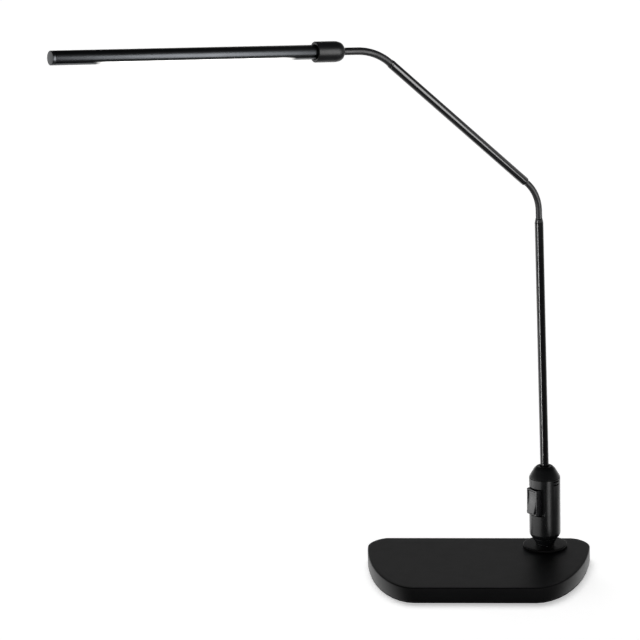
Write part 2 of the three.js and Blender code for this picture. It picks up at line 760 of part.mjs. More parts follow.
const makeLights = (line) => {
  const length = BAR.boardEnd - BAR.boardStart;
  const middle = BAR.boardStart + length / 2;
  barBlock(line, 'led_board', BOARD, length, middle, LOOK.whiteBoard);
  barBlock(line, 'heat_spreader', SPREADER, length + SPREADER.overhang, middle, LOOK.steel);
  const pitch = length / BAR.ledCount;
  for (let i = 0; i < BAR.ledCount; i++) {
    const name = `led_${String(i + 1).padStart(2, '0')}`;
    barBlock(line, name, LED, LED.length, BAR.boardStart + (i + 0.5) * pitch, LOOK.led);
  }
};

const makeHead = () => {
  const line = onLine(BAR_ORIGIN, BAR_ANGLE);
  makeCollar(line);
  makeJournal(line);
  makeBarShell(line);
  makeLights(line);
};

makeShell();
makeWeightAndPlate();
makeScrews();
makeSocket();
makePinAndNeck();
makeHousing();
makeCap();
makeSwitchFrame();
makeRocker();
makeTerminals();
makeHousingElectrics();
makePost();
makeMiddle();
makeGooseneck('lower', LOWER_BEND, LOWER_SLEEVE);
makeGooseneck('upper', UPPER_BEND, UPPER_SLEEVE);
makeHead();

export default lamp;
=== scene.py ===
"""LED desk lamp: finished surfaces, materials, floor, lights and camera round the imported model.

Lengths in this file are millimetres, and are turned into metres where a mesh is made.
The arm, the housing and the light bar are drawn in the arm frame: X is the direction the
arm reaches in, Z is up, and the frame is turned about the swivel axis. Angles are degrees.
"""

import json
import math

import bmesh
import bpy
from mathutils import Matrix, Vector


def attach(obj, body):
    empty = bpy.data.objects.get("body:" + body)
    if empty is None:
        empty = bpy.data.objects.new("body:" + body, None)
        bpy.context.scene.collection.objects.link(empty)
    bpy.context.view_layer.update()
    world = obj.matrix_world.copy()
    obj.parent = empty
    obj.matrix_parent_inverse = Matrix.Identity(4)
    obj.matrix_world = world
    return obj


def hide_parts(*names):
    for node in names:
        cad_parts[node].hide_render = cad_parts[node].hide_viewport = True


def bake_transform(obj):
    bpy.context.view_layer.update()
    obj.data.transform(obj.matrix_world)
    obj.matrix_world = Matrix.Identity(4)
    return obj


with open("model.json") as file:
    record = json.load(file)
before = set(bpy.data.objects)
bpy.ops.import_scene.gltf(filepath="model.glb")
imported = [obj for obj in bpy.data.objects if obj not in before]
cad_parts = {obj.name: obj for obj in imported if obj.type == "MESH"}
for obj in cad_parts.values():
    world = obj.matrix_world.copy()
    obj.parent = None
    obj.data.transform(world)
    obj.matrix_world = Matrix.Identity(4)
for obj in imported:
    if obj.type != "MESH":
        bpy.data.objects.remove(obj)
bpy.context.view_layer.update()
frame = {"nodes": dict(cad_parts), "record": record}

MM = 0.001

# ---------------------------------------- driving dimensions

ARM_HEADING = 210
GAP = 0.3
BUTT_GAP = 0.1  # between a gooseneck's sleeve and the plug it butts against
# where cutting tools end, well outside the piece they cut
OUTSIDE, WIDE, FAR = 20, 30, 40
ABOVE_HOUSING, ABOVE_LAMP = 90, 120

BASE_WIDTH = 205.6
BASE_DEPTH = 134
BASE_HEIGHT = 14.8
BASE_WALL, BASE_ROOF = 2.2, 2.3
BASE_EDGE = 1.3
AXIS_TO_RIGHT = 41.3
AXIS_TO_BACK = 22
BACK_CORNER = (18, 21, 1.7)  # radii along X and Y, and the superellipse's power
FRONT_CORNER = (47, 1.9)  # radius along X, and the power
BACK_STEPS, FRONT_STEPS = 28, 40
SHELL_LOW = 1.4
LOW_EDGE = [(0.3, 0), (0.08, 0.15), (0, 0.4)]  # inset and height of the rounded lower edge
SOCKET_HOLE, SOCKET_HOLE_LOW = 9.3, 5
SOCKET_BORE, SOCKET_SLEEVE, SOCKET_RADIUS = 6.6, 9, 20.5
SOCKET_LOW, SOCKET_TOP = 3.3, 17.5

HOUSING_RADIUS = 14.4
HOUSING_BORE = 11.8
HOUSING_BOTTOM, HOUSING_TOP, CAP_TOP = 24.5, 82.8, 93.6
HOUSING_CHAMFER = (2.2, 3.5)  # inset and height
HOUSING_FLOOR = 28.5
PIN_BORE = 4.3
PIN_HOLE_LOW, PIN_HOLE_HIGH = 20, 40  # through the floor
NECK_FOOT, NECK_HEAD, NECK_STEP = 8.6, 12, 0.6
SEAM_ANGLE = 65
LAND_DEPTH, LAND_WALL = 9, 1.7
LAND_LOW, LAND_HIGH = 47.8, 74.8

SWITCH_ANGLE = 11
SWITCH_LOW, SWITCH_HIGH = 48.8, 73.8
SWITCH_WIDTH = 14
SWITCH_FACE, SWITCH_RISE = 9.3, 6.5
SWITCH_RIM, SWITCH_WELL = 1.6, 0.8
SWITCH_BODY_DEPTH, SWITCH_BODY_HALF, SWITCH_BODY_INSET = 6.5, 4.5, 2.5
SWITCH_HOLE = (4, 12)  # reach of the hole for it in the housing
ROCKER_TILT = 8
ROCKER_PIVOT_DEPTH = 1.6

VENT_ANGLE = 112
VENT_LEVELS = (77.2, 80.4)
VENT_HEIGHT, VENT_HALF, VENT_START = 1.2, 4, 10
CAP_DOME = [(12.9, 86, 2.0), (11.5, 88.4, 1.6), (9.5, 91.6, 1.2), (7.2, CAP_TOP, 0.9)]
SPIGOT_RADIUS, SPIGOT_DEPTH = 8.2, 3.4
CAP_COLLAR_WALL, CAP_COLLAR_DEPTH = 2.6, 6
SET_SCREW_HEIGHT = 86.9
SET_SCREW_RADIUS, SET_SCREW_END, HEX_KEY = 1.45, 10.6, 0.85
HEX_KEY_REACH = (8.6, 12)

INLET_ANGLE, INLET_HEIGHT = 195, 38
INLET_RADIUS, INLET_BORE, INLET_PIN = 4, 2.7, 0.9
INLET_START, INLET_FLOOR, INLET_HOLE_START = 6.2, 7.6, 8

TUBE_RADIUS, TUBE_BORE = 4, 3.3
FERRULE_BORE, FERRULE_DEPTH, FERRULE_STEP = 2.35, 6, 0.25
LOWER_SLEEVE = (2.95, 2.35)  # outer and inner radius
UPPER_SLEEVE = (3.4, 2.8)
CORE_RADIUS, CORE_BORE = 2.0, 1.2
CORE_RIPPLE, CORE_TURNS = 0.04, 90

POST_LOW, POST_TOP, POST_LEAN = 77, 328.8, 0.9
POST_FERRULE = 4
MIDDLE_FERRULE = 2
ELBOW = Vector((4.1, 356.8))
MIDDLE_ANGLE = 44
MIDDLE_START, MIDDLE_END = 19.7, 206.1
SHOULDER = 227.4
BAR_ANGLE = 7
ELBOW_TANGENT = 16.5
SHOULDER_TANGENT = 18.8
COLLAR_START = 33.9
SLEEVE_IN_COLLAR = 3

# the domes are corners: radius, height and rounding
COLLAR_RADIUS, COLLAR_BORE = 9.4, 6.9
COLLAR_LENGTH, COLLAR_MOUTH, COLLAR_WALL = 27.8, 3.8, 5
COLLAR_DOME = [(5.9, 0, 1.0), (7.8, 1.7, 1.4), (8.9, 4.2, 1.6), (COLLAR_RADIUS, 7.2, 1.6)]
STOP_SCREW_AT = 13
STOP_SCREW_RADIUS, STOP_SCREW_HOLE = 1.25, 1.6
STOP_HOLE_REACH = (5, 12)
STOP_SCREW_SLOT = ((-2, -0.22, 8.5), (2, 0.22, 10))
STOP_SCREW_START, STOP_SCREW_END = 5.65, 9.1

BAR_RADIUS, BAR_INNER = 6.5, 5.25
BAR_START, BAR_END = 24.5, 283
BAR_STEP, BAR_LIP, BAR_SPLIT = -1.1, 5.6, -3.5
END_CAP, END_CAP_PLUG = 3, 6
DIFFUSER_SETBACK = 3.5
LIT_START, LIT_END = 53, 239
LED_COUNT = 12

# ---------------------------------------- geometry

ARM = Matrix.Rotation(math.radians(ARM_HEADING), 4, "Z")
LIE_DOWN = Matrix.Rotation(math.pi / 2, 4, "Y")
SHARP, BLUNT = 35, 50  # edges sharper than this stay sharp


def direction(degrees):
    return Vector((math.cos(math.radians(degrees)), math.sin(math.radians(degrees))))


def along(point, degrees, distance):
    return point + direction(degrees) * distance


def on_line(point, degrees):
    """A frame whose Z runs along a line of the arm plane, starting at (reach, height)."""
    place = Matrix.Translation(Vector((point.x, 0, point.y)))
    return ARM @ place @ Matrix.Rotation(math.radians(90 - degrees), 4, "Y")


POST_ANGLE = 90 - POST_LEAN
SHOULDER_POINT = along(ELBOW, MIDDLE_ANGLE, SHOULDER)
BAR_ORIGIN = along(SHOULDER_POINT, BAR_ANGLE, COLLAR_START)
POST_LINE = on_line(Vector((0, CAP_TOP)), POST_ANGLE)
MIDDLE_LINE = on_line(ELBOW, MIDDLE_ANGLE)
BAR_LINE = on_line(BAR_ORIGIN, BAR_ANGLE)


def new_object(name, vertices, faces, matrix=None, sharp=SHARP):
    """A mesh object in the row frame from points in millimetres, smooth but for sharp edges."""
    mesh = bpy.data.meshes.new(name)
    place = matrix if matrix else Matrix.Identity(4)
    mesh.from_pydata([(place @ Vector(v)) * MM for v in vertices], [], faces)
    mesh.validate()
    obj = bpy.data.objects.new(name, mesh)
    bpy.context.scene.collection.objects.link(obj)
    tidy_normals(obj, sharp)
    return obj


def tidy_normals(obj, sharp=SHARP):
    work = bmesh.new()
    work.from_mesh(obj.data)
    bmesh.ops.remove_doubles(work, verts=work.verts, dist=1e-7)
    bmesh.ops.recalc_face_normals(work, faces=work.faces)
    for face in work.faces:
        face.smooth = True
    work.to_mesh(obj.data)
    work.free()
    obj.data.set_sharp_from_angle(angle=math.radians(sharp))


def apply_modifiers(obj):
    """Bakes the object's modifiers into its mesh."""
    graph = bpy.context.evaluated_depsgraph_get()
    mesh = bpy.data.meshes.new_from_object(obj.evaluated_get(graph))
    obj.modifiers.clear()
    obj.data = mesh


def boolean(obj, tool, operation="DIFFERENCE"):
    """Cuts, joins or intersects obj with a closed tool, and removes the tool."""
    modifier = obj.modifiers.new("boolean", "BOOLEAN")
    modifier.operation = operation
    modifier.solver = "EXACT"
    modifier.object = tool
    apply_modifiers(obj)
    bpy.data.objects.remove(tool)


def soften(obj, width, segments=3, angle=40):
    """Rounds every edge sharper than angle."""
    modifier = obj.modifiers.new("bevel", "BEVEL")
    modifier.width = width * MM
    modifier.segments = segments
    modifier.limit_method = "ANGLE"
    modifier.angle_limit = math.radians(angle)
    modifier.use_clamp_overlap = True
    modifier.miter_outer = "MITER_ARC"
    apply_modifiers(obj)
    tidy_normals(obj)


MOST_OF_HALF = 0.48  # the share of an edge that a rounded corner may take


def fillet(points, radius, steps=4, closed=False):
    """Rounds the corners of a 2D profile. radius is one number, or one for each point."""
    radii = radius if isinstance(radius, (list, tuple)) else [radius] * len(points)
    result = []
    count = len(points)
    for i, point in enumerate(points):
        here = Vector(point)
        if radii[i] <= 0 or (not closed and i in (0, count - 1)):
            result.append(here)
            continue
        before = Vector(points[i - 1])
        after = Vector(points[(i + 1) % count])
        a, b = before - here, after - here
        reach = min(radii[i], a.length * MOST_OF_HALF, b.length * MOST_OF_HALF)
        start, end = here + a.normalized() * reach, here + b.normalized() * reach
        for step in range(steps + 1):
            t = step / steps
            result.append(start * (1 - t) ** 2 + here * (2 * t * (1 - t)) + end * t ** 2)
    return result


def lathe(name, profile, sides=96, matrix=None, closed=False):
    """Turns a profile of (radius, height) about Z. It starts and ends on the axis, or is closed."""
    vertices, faces, rings = [], [], []
    for radius, height in profile:
        if radius < 1e-6:
            rings.append([len(vertices)])
            vertices.append((0, 0, height))
            continue
        ring = []
        for i in range(sides):
            angle = 2 * math.pi * i / sides
            ring.append(len(vertices))
            vertices.append((radius * math.cos(angle), radius * math.sin(angle), height))
        rings.append(ring)
    pairs = list(zip(rings, rings[1:]))
    if closed:
        pairs.append((rings[-1], rings[0]))
    for low, high in pairs:
        for i in range(sides):
            j = (i + 1) % sides
            if len(low) == 1 and len(high) == 1:
                break
            if len(low) == 1:
                faces.append((low[0], high[j], high[i]))
            elif len(high) == 1:
                faces.append((low[i], low[j], high[0]))
            else:
                faces.append((low[i], low[j], high[j], high[i]))
    return new_object(name, vertices, faces, matrix)


def turned(name, corners, steps=5, sides=96, matrix=None, closed=True):
    """Turns a profile of (radius, height, rounding of the corner) about Z."""
    points = [corner[:2] for corner in corners]
    roundings = [corner[2] for corner in corners]
    return lathe(name, fillet(points, roundings, steps, closed), sides, matrix, closed)


def cylinder(name, radius, low, high, sides=64, matrix=None):
    return lathe(name, [(0, low), (radius, low), (radius, high), (0, high)], sides, matrix)


def box(name, low, high, matrix=None):
    xs, ys, zs = zip(low, high)
    corners = [(x, y, z) for x in xs for y in ys for z in zs]
    faces = [(0, 1, 3, 2), (4, 6, 7, 5), (0, 4, 5, 1), (2, 3, 7, 6), (0, 2, 6, 4), (1, 5, 7, 3)]
    return new_object(name, corners, faces, matrix)


def radial(angle):
    """The arm frame turned so that its X points along the given direction."""
    return ARM @ Matrix.Rotation(math.radians(angle), 4, "Z")


def radial_rod(name, radius, angle, start, end, height, sides=32):
    """A rod that points away from the swivel axis."""
    place = radial(angle) @ Matrix.Translation((0, 0, height)) @ LIE_DOWN
    return cylinder(name, radius, start, end, sides, place)


def extrude(name, outline, start, end, matrix):
    """A closed outline in XY carried from start to end along Z."""
    count = len(outline)
    vertices = [(x, y, z) for z in (start, end) for x, y in outline]
    faces = []
    for i in range(count):
        j = (i + 1) % count
        faces.append((i, j, count + j, count + i))
    faces.append(tuple(reversed(range(count))))
    faces.append(tuple(range(count, 2 * count)))
    return new_object(name, vertices, faces, matrix)


# ---------------------------------------- materials


MIX_FACTOR, MIX_FIRST, MIX_SECOND = 0, 6, 7  # input sockets of a Mix node that mixes colours
MIX_RESULT = 2  # its output socket


class Finish:
    """Builds one procedural material: colour variation, roughness variation and bump."""

    def __init__(self, name, color, roughness, metallic=0.0, specular=0.5):
        self.material = bpy.data.materials.new(name)
        self.material.use_nodes = True
        self.tree = self.material.node_tree
        self.shader = self.tree.nodes["Principled BSDF"]
        self.color = color
        self.roughness = roughness
        self.shader.inputs["Metallic"].default_value = metallic
        self.shader.inputs["Specular IOR Level"].default_value = specular
        self.position = self.node("ShaderNodeTexCoord").outputs["Object"]
        self.height = None

    def node(self, kind, **settings):
        made = self.tree.nodes.new(kind)
        for key, value in settings.items():
            setattr(made, key, value)
        return made

    def link(self, output, target):
        self.tree.links.new(output, target)

    def stretched(self, matrix, factors):
        """Coordinates in a piece's own frame, in metres, scaled on each axis."""
        rows = matrix.to_3x3().inverted()
        parts = []
        for row, factor in zip(rows, factors):
            parts.append(self.dot(self.position, row * factor))
        combine = self.node("ShaderNodeCombineXYZ")
        for part, socket in zip(parts, combine.inputs):
            self.link(part, socket)
        return combine.outputs["Vector"]

    def noise(self, scale, detail=3.0, roughness=0.5, position=None):
        made = self.node("ShaderNodeTexNoise")
        made.inputs["Scale"].default_value = scale
        made.inputs["Detail"].default_value = detail
        made.inputs["Roughness"].default_value = roughness
        self.link(position or self.position, made.inputs["Vector"])
        return made.outputs["Fac"]

    def ranged(self, value, low, high, source=(0.25, 0.75)):
        made = self.node("ShaderNodeMapRange")
        self.link(value, made.inputs["Value"])
        made.inputs["From Min"].default_value = source[0]
        made.inputs["From Max"].default_value = source[1]
        made.inputs["To Min"].default_value = low
        made.inputs["To Max"].default_value = high
        return made.outputs["Result"]

    def mixed(self, factor, first, second):
        made = self.node("ShaderNodeMix", data_type="RGBA")
        sides = ((made.inputs[MIX_FIRST], first), (made.inputs[MIX_SECOND], second))
        for socket, value in sides:
            if hasattr(value, "is_linked"):
                self.link(value, socket)
            else:
                socket.default_value = (*value, 1)
        self.link(factor, made.inputs[MIX_FACTOR])
        return made.outputs[MIX_RESULT]

    def calculate(self, operation, first, second=None):
        """A Math node whose inputs are outputs of other nodes, or numbers."""
        made = self.node("ShaderNodeMath", operation=operation)
        for socket, value in zip(made.inputs, (first, second)):
            if hasattr(value, "is_linked"):
                self.link(value, socket)
            elif value is not None:
                socket.default_value = value
        return made.outputs["Value"]

    def dot(self, first, second):
        """The dot product of a vector output with another one, or with a fixed vector."""
        made = self.node("ShaderNodeVectorMath", operation="DOT_PRODUCT")
        self.link(first, made.inputs[0])
        if hasattr(second, "is_linked"):
            self.link(second, made.inputs[1])
        else:
            made.inputs[1].default_value = second
        return made.outputs["Value"]

    def edges(self, radius):
        """1 along rounded edges, 0 on open faces; it masks the painted edge sheen."""
        rounded = self.node("ShaderNodeBevel", samples=6)
        rounded.inputs["Radius"].default_value = radius * MM
        flat = self.node("ShaderNodeNewGeometry")
        likeness = self.dot(rounded.outputs["Normal"], flat.outputs["Normal"])
        return self.ranged(likeness, 1.0, 0.0, source=(0.75, 0.99))

    def bump(self, value, distance, strength=1.0):
        """Adds a height, in millimetres, on top of the ones already there."""
        made = self.node("ShaderNodeBump")
        made.inputs["Strength"].default_value = strength
        made.inputs["Distance"].default_value = distance * MM
        self.link(value, made.inputs["Height"])
        if self.height:
            self.link(self.height, made.inputs["Normal"])
        self.height = made.outputs["Normal"]

    def paint(self, variation=0.25, scale=40, edge_sheen=None, sheen_color=None):
        """Colour that drifts a little over the surface, with paler edges, a painted sheen, if asked."""
        darker = tuple(c * (1 - variation) for c in self.color)
        lighter = tuple(min(1, c * (1 + variation)) for c in self.color)
        value = self.mixed(self.ranged(self.noise(scale, 4), 0, 1), darker, lighter)
        if edge_sheen:
            # the paler edge colour is a painted sheen, not wear
            pale = sheen_color or tuple(min(1, c * 2.2 + 0.01) for c in self.color)
            breakup = self.ranged(self.noise(600, 5), 0.2, 1.0)
            value = self.mixed(self.calculate("MULTIPLY", self.edges(edge_sheen), breakup), value, pale)
        self.link(value, self.shader.inputs["Base Color"])

    def polish(self, spread=0.06, scale=90):
        """Roughness that drifts, as handling leaves it."""
        low, high = self.roughness - spread, self.roughness + spread
        self.link(self.ranged(self.noise(scale, 5, 0.6), low, high), self.shader.inputs["Roughness"])

    def done(self):
        if self.height:
            self.link(self.height, self.shader.inputs["Normal"])
        return self.material


def moulded(name, color, roughness, specular, grain, depth, drift=0.05):
    """Moulded plastic with a fine spark-eroded grain."""
    finish = Finish(name, color, roughness, specular=specular)
    # the edge strength sets the painted sheen on rounded edges
    finish.paint(variation=0.18, scale=30, edge_sheen=0.35)
    finish.polish(spread=drift, scale=70)
    finish.bump(finish.noise(grain, detail=2), distance=depth, strength=0.5)
    finish.bump(finish.noise(grain / 4), distance=depth * 0.8, strength=0.25)
    return finish.done()


def painted_tube(name, matrix):
    """Gloss black paint with faint orange peel drawn along the tube."""
    finish = Finish(name, color=(0.003, 0.003, 0.0033), roughness=0.17)
    # the edge strength sets the painted sheen on rounded edges
    finish.paint(variation=0.2, scale=60, edge_sheen=0.3)
    finish.polish(spread=0.05, scale=120)
    finish.bump(finish.noise(900, detail=2), distance=0.012, strength=0.35)
    peel = finish.stretched(matrix, (1, 1, 0.15))
    finish.bump(finish.noise(420, detail=2, position=peel), distance=0.015, strength=0.3)
    return finish.done()


def extruded_metal(name, matrix):
    """Black anodised extrusion with fine lines along its length."""
    low, high = 0.3, 0.42
    finish = Finish(name, color=(0.042, 0.044, 0.047), roughness=low, metallic=1.0)
    # the pale edge colour is a painted sheen on the rounded edges
    finish.paint(variation=0.1, scale=45, edge_sheen=0.25, sheen_color=(0.12, 0.12, 0.125))
    lines = finish.stretched(matrix, (1, 1, 0.01))
    streaks = finish.ranged(finish.noise(2600, position=lines), low, high)
    finish.link(streaks, finish.shader.inputs["Roughness"])
    finish.bump(finish.noise(3000, position=lines), distance=0.010, strength=0.35)
    finish.bump(finish.noise(1800, detail=2), distance=0.008, strength=0.3)
    return finish.done()


def opal(name, matrix, lit_low, lit_high):
    """Opal strip that glows over the length of the LED board, brighter at each LED."""
    finish = Finish(name, color=(0.05, 0.052, 0.055), roughness=0.42, specular=0.3)
    finish.paint(variation=0.04, scale=200)
    finish.polish(spread=0.05, scale=200)
    finish.bump(finish.noise(1500, detail=2), distance=0.01, strength=0.3)

    fade, peak = 5 * MM, 2.2
    low, high = lit_low * MM, lit_high * MM
    pitch = (high - low) / LED_COUNT
    inverse = matrix.inverted()
    across = finish.dot(finish.position, Vector(inverse[2][:3]))
    distance = finish.calculate("ADD", across, inverse[2][3] * MM)
    rise = finish.ranged(distance, 0, 1, source=(low - fade, low + fade))
    fall = finish.ranged(distance, 1, 0, source=(high - fade, high + fade))
    first_led = finish.calculate("SUBTRACT", distance, low + pitch / 2)
    wave = finish.calculate("COSINE", finish.calculate("MULTIPLY", first_led, 2 * math.pi / pitch))
    spots = finish.ranged(wave, 0.8, 1.0, source=(-1, 1))
    glow = finish.calculate("MULTIPLY", finish.calculate("MULTIPLY", rise, fall), spots)
    finish.shader.inputs["Emission Color"].default_value = (1.0, 0.99, 0.97, 1)
    strength = finish.calculate("MULTIPLY", glow, peak)
    finish.link(strength, finish.shader.inputs["Emission Strength"])
    return finish.done()


def rubber(name, color, roughness, grain=1600):
    finish = Finish(name, color, roughness, specular=0.3)
    finish.paint(variation=0.25, scale=50)
    finish.polish(spread=0.07, scale=140)
    finish.bump(finish.noise(grain), distance=0.03, strength=0.4)
    return finish.done()


def plated(name, color, roughness):
    """Plated or machined metal with fine tool marks and a little tarnish."""
    finish = Finish(name, color, roughness, metallic=1.0)
    # the edge strength sets the painted sheen on rounded edges
    finish.paint(variation=0.12, scale=160, edge_sheen=0.25)
    finish.polish(spread=0.1, scale=300)
    finish.bump(finish.noise(5000, detail=2), distance=0.005, strength=0.4)
    return finish.done()


def cast(name):
    finish = Finish(name, color=(0.06, 0.06, 0.062), roughness=0.65, metallic=0.6)
    finish.paint(variation=0.35, scale=120)
    finish.polish(spread=0.1, scale=200)
    finish.bump(finish.noise(700, detail=6, roughness=0.7), distance=0.12, strength=0.6)
    return finish.done()


def circuit(name, color, copper):
    """Solder mask with tracks showing through."""
    finish = Finish(name, color, roughness=0.35)
    cells = finish.node("ShaderNodeTexBrick")
    cells.inputs["Scale"].default_value = 260
    cells.inputs["Mortar Size"].default_value = 0.03
    cells.inputs["Color1"].default_value = (*color, 1)
    cells.inputs["Color2"].default_value = (*(c * 0.85 for c in color), 1)
    cells.inputs["Mortar"].default_value = (*copper, 1)
    finish.link(finish.position, cells.inputs["Vector"])
    finish.link(cells.outputs["Color"], finish.shader.inputs["Base Color"])
    finish.polish(spread=0.08, scale=200)
    finish.bump(cells.outputs["Fac"], distance=0.03, strength=0.4)
    return finish.done()


def phosphor(name):
    finish = Finish(name, color=(0.9, 0.72, 0.22), roughness=0.35)
    finish.paint(variation=0.08, scale=900)
    finish.polish(spread=0.06, scale=500)
    finish.bump(finish.noise(2500, detail=2), distance=0.01, strength=0.4)
    finish.shader.inputs["Emission Color"].default_value = (1.0, 0.97, 0.9, 1)
    finish.shader.inputs["Emission Strength"].default_value = 1.5
    return finish.done()


def moulded_looks():
    """Black mouldings: colour, roughness, specular level, grain and its depth."""
    black = (0.004, 0.004, 0.0043)
    return {
        "base_shell": moulded("base_plastic", black, 0.45, 0.16, 1500, 0.03, drift=0.02),
        "housing_plastic": moulded("housing_plastic", (0.0035, 0.0038, 0.0042), 0.3, 0.3, 2600, 0.012),
        "collar_plastic": moulded("collar_plastic", (0.004, 0.004, 0.0045), 0.38, 0.25, 2600, 0.012),
        "switch_plastic": moulded("switch_plastic", (0.006, 0.006, 0.007), 0.28, 0.5, 3000, 0.008),
    }


LOOKS = {
    **moulded_looks(),
    "post": painted_tube("post_paint", POST_LINE),
    "middle": painted_tube("middle_paint", MIDDLE_LINE),
    "bar_aluminium": extruded_metal("bar_anodised", BAR_LINE),
    "gooseneck_sleeve": rubber("gooseneck_rubber", (0.005, 0.005, 0.0055), 0.4),
    "diffuser": opal("opal_strip", BAR_LINE, LIT_START, LIT_END),
    "pad_rubber": rubber("pad_rubber", (0.018, 0.018, 0.019), 0.8, grain=900),
    "steel": plated("zinc_plated_steel", (0.5, 0.5, 0.51), 0.35),
    "brass": plated("machined_brass", (0.62, 0.44, 0.18), 0.3),
    "cast_iron": cast("cast_iron"),
    "circuit_board": circuit("green_board", (0.015, 0.12, 0.04), (0.05, 0.3, 0.1)),
    "led_board": circuit("white_board", (0.78, 0.78, 0.76), (0.6, 0.6, 0.55)),
    "led": phosphor("led_phosphor"),
}
LOOKS["arm_tube"] = LOOKS["post"]


def dress(obj, slot, body, node, look=None):
    """Gives a finished piece the material of its record slot and its body, and hides the node it stands
    for.
    """
    obj.data.materials.clear()
    obj.data.materials.append(LOOKS[look or slot])
    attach(obj, body)
    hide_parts(node)


def dress_cad_nodes():
    """Every CAD node that stays gets the procedural material of its slot."""
    for entry in frame["record"]["subparts"]:
        node = frame["nodes"][entry["node"]]
        look = LOOKS[entry["material_slot"]]
        for place in node.material_slots:
            place.material = look


# ---------------------------------------- base


def superellipse(x_radius, y_radius, power, steps):
    """A quarter, from (x radius, 0) to (0, y radius)."""
    points = []
    for i in range(steps + 1):
        angle = i / steps * math.pi / 2
        x = x_radius * max(0.0, math.cos(angle)) ** (2 / power)
        y = y_radius * max(0.0, math.sin(angle)) ** (2 / power)
        points.append((x, y))
    return points


def base_outline(inset):
    """The D-shaped outline, moved inwards."""
    half = BASE_WIDTH / 2 - inset
    back_x, back_y, back_power = BACK_CORNER
    front_x, front_power = FRONT_CORNER
    back_rx = back_x - inset / 2
    front_rx = front_x - inset / 2
    back = superellipse(back_rx, back_y - inset, back_power, BACK_STEPS)
    front = superellipse(front_rx, BASE_DEPTH - back_y - inset, front_power, FRONT_STEPS)
    right = [(half - back_rx + x, y - back_y) for x, y in reversed(back)]
    right += [(half - front_rx + x, -y - back_y) for x, y in front[1:]]
    left = [(-x, y) for x, y in reversed(right)]
    shift_x = AXIS_TO_RIGHT - BASE_WIDTH / 2
    return [(x + shift_x, y + AXIS_TO_BACK) for x, y in right + left]


def base_section():
    """Insets and heights from the roof's underside, down round the wall, up and onto the top."""
    section = [(BASE_WALL, BASE_HEIGHT - BASE_ROOF), (BASE_WALL, SHELL_LOW)]
    section += [(inset, SHELL_LOW + height) for inset, height in LOW_EDGE]
    corner = BASE_HEIGHT - BASE_EDGE
    steps = 6
    for i in range(steps + 1):
        angle = i / steps * math.pi / 2
        section.append((BASE_EDGE * (1 - math.cos(angle)), corner + BASE_EDGE * math.sin(angle)))
    return section + [(inset, BASE_HEIGHT) for inset in (4, 8)]  # keeps the top's shading flat


def make_base_shell():
    section = base_section()
    outlines = [base_outline(inset) for inset, height in section]
    count = len(outlines[0])
    vertices = []
    for outline, (inset, height) in zip(outlines, section):
        vertices += [(x, y, height) for x, y in outline]
    faces = []
    for row in range(len(section) - 1):
        for i in range(count):
            j = (i + 1) % count
            a, b = row * count, (row + 1) * count
            faces.append((a + i, a + j, b + j, b + i))
    top = (len(section) - 1) * count
    faces.append(tuple(range(count)))
    faces.append(tuple(reversed(range(top, top + count))))
    shell = new_object("base_shell", vertices, faces, sharp=BLUNT)
    boolean(shell, cylinder("socket_hole", SOCKET_HOLE, SOCKET_HOLE_LOW, OUTSIDE))
    tidy_normals(shell, BLUNT)
    dress(shell, "base_shell", "base", "base_top_shell")


def make_base_socket():
    """A round flange on the base, and the sleeve under it that holds the bush."""
    flange = BASE_HEIGHT + GAP
    corners = [
        (SOCKET_BORE, SOCKET_LOW, 0.3), (SOCKET_SLEEVE, SOCKET_LOW, 0.3), (SOCKET_SLEEVE, flange, 0),
        (SOCKET_RADIUS, flange, 0.3), (SOCKET_RADIUS, SOCKET_TOP, 1.1), (SOCKET_BORE, SOCKET_TOP, 0.4),
    ]
    socket = turned("socket_flange", corners, sides=128)
    dress(socket, "base_shell", "base", "base_socket")


# ---------------------------------------- housing


def make_neck():
    low, high = SOCKET_TOP + GAP, HOUSING_BOTTOM - GAP
    corners = [
        (PIN_BORE, low, 0.2), (NECK_FOOT, low, 0.3), (NECK_FOOT, low + NECK_STEP, 0.3),
        (NECK_HEAD, high, 0.5), (PIN_BORE, high, 0.2),
    ]
    neck = turned("neck", corners, steps=4, matrix=ARM)
    dress(neck, "housing_plastic", "post", "neck_cone")


def solid_barrel():
    """The whole barrel with its cavity, the pin's hole and the flat land for the switch."""
    inset, rise = HOUSING_CHAMFER
    corners = [
        (0, HOUSING_BOTTOM, 0), (HOUSING_RADIUS - inset, HOUSING_BOTTOM, 0.6),
        (HOUSING_RADIUS, HOUSING_BOTTOM + rise, 1.4), (HOUSING_RADIUS, HOUSING_TOP, 0.35),
        (0, HOUSING_TOP, 0),
    ]
    barrel = turned("barrel", corners, sides=128, matrix=ARM, closed=False)
    turn = radial(SWITCH_ANGLE)
    cavity = cylinder("cavity", HOUSING_BORE, HOUSING_FLOOR, ABOVE_HOUSING, 96, ARM)
    corner = LAND_DEPTH - LAND_WALL, WIDE, ABOVE_HOUSING
    keep = box("keep", (-OUTSIDE, -WIDE, HOUSING_FLOOR), corner, turn)
    boolean(cavity, keep, "INTERSECT")
    boolean(barrel, cavity)
    above = LAND_HIGH + LAND_WALL
    boolean(barrel, cylinder("room_above", HOUSING_BORE, above, ABOVE_HOUSING, 96, ARM))
    boolean(barrel, box("land", (LAND_DEPTH, -WIDE, LAND_LOW), (FAR, WIDE, LAND_HIGH), turn))
    boolean(barrel, cylinder("pin_hole", PIN_BORE, PIN_HOLE_LOW, PIN_HOLE_HIGH, 48, ARM))
    return barrel


